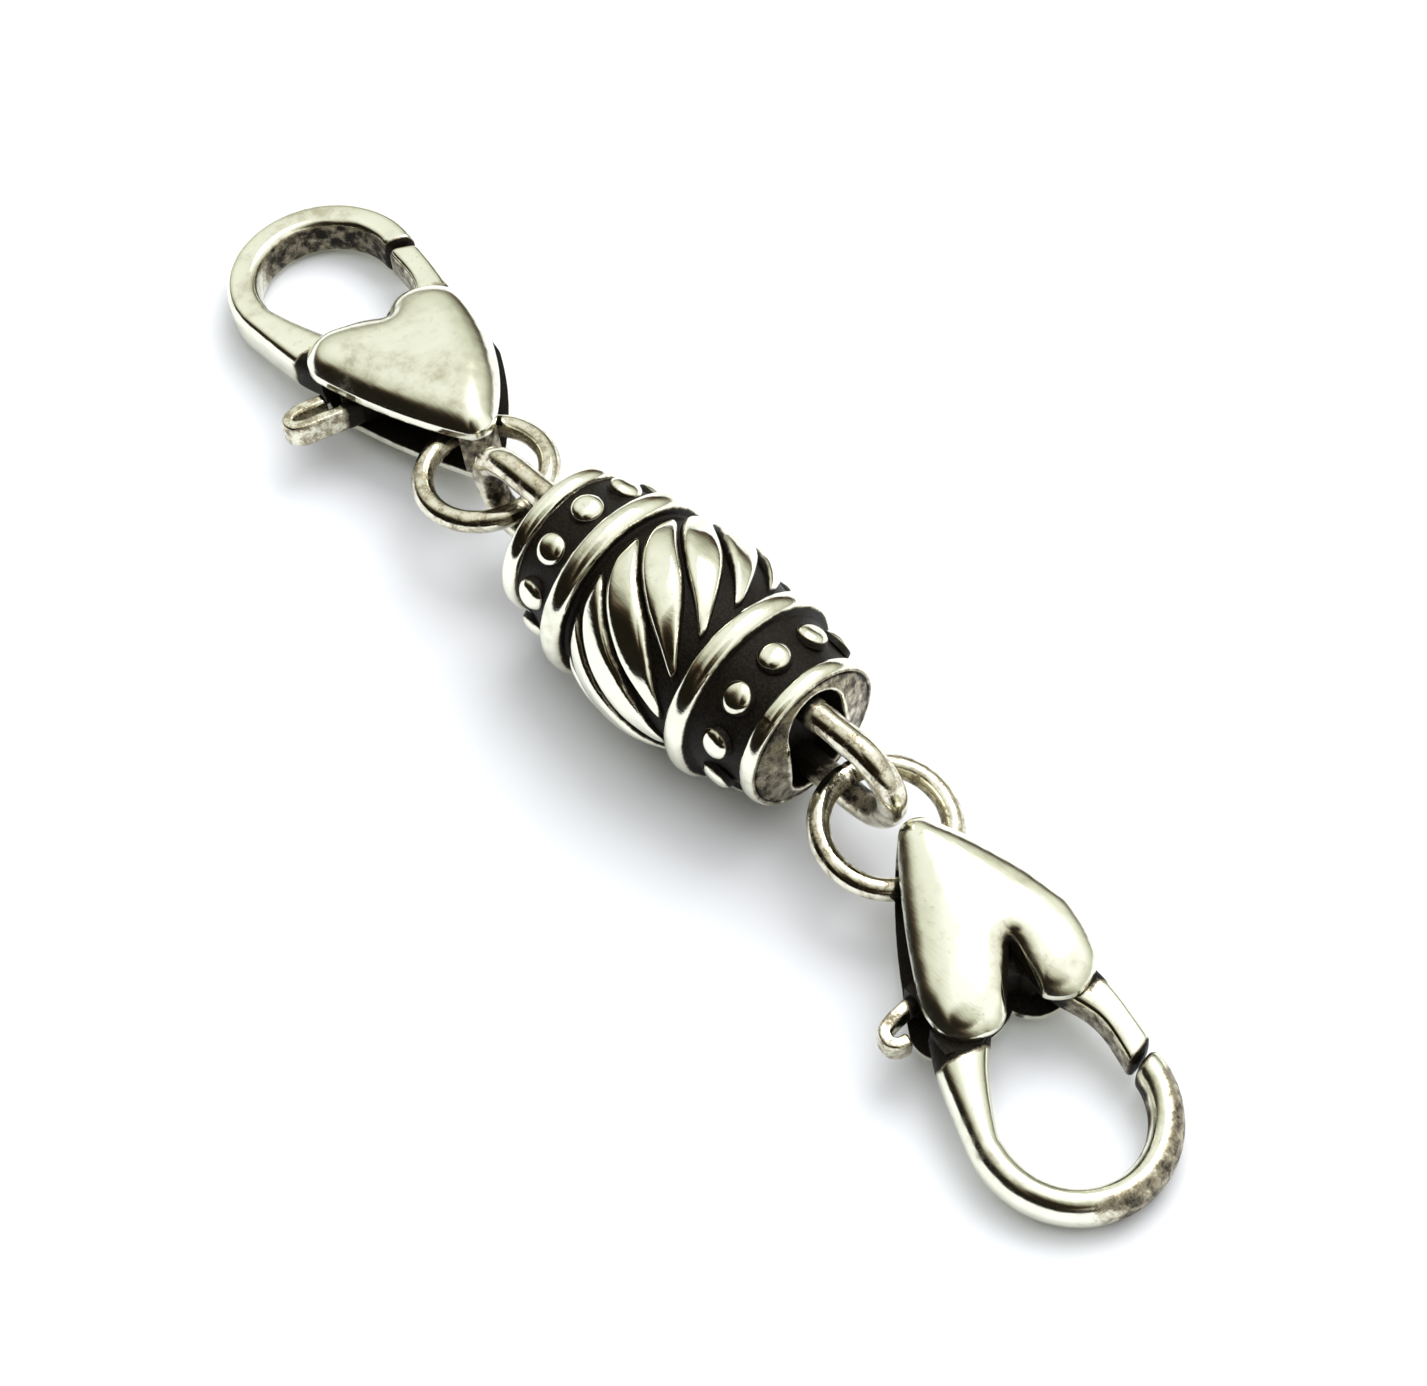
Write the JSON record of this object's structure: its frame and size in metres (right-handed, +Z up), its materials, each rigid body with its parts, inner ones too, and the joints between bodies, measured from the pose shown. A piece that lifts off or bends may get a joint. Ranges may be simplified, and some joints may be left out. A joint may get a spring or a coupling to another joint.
{
  "type": "chain extender",
  "caption": "Chain extender: a fluted, dotted antique-silver barrel with a wire eye, jump ring and heart-shaped lobster clasp at each end, lying flat.",
  "frame": {"origin": "on the table, under the middle of the whole", "axes": "+X along the extender from the left clasp to the right clasp, +Z up"},
  "size_m": [0.0692, 0.0184, 0.0106],
  "materials": {
    "barrel_silver": "polished antique silver with black oxidised recesses",
    "wire_silver": "polished antique silver wire",
    "clasp_silver": "polished antique silver, dark inside the slot",
    "lever_silver": "polished antique silver",
    "pin_steel": "plain"
  },
  "bodies": {
    "root": {"barrel": "barrel_silver", "eye_left": "wire_silver", "eye_right": "wire_silver", "jump_ring_left": "wire_silver", "jump_ring_right": "wire_silver", "clasp_body_left": "clasp_silver", "clasp_body_right": "clasp_silver", "clasp_pin_left": "pin_steel", "clasp_pin_right": "pin_steel"},
    "lever_left": {"clasp_lever_left": "lever_silver"},
    "lever_right": {"clasp_lever_right": "lever_silver"}
  },
  "joints": [
    {"name": "gate_left", "type": "hinge", "parent": "root", "child": "lever_left", "pos_m": [-0.0219, 0.00513, 0.00278], "axis": [-0.1368, 0.0241, 0.9903], "range_deg": [0, 25], "stiffness_Nm_per_rad": 0.002, "springref_deg": -11.46},
    {"name": "gate_right", "type": "hinge", "parent": "root", "child": "lever_right", "pos_m": [0.02309, -0.00021, 0.00278], "axis": [-0.1328, 0.0406, -0.9903], "range_deg": [0, 25], "stiffness_Nm_per_rad": 0.002, "springref_deg": -11.46}
  ]
}
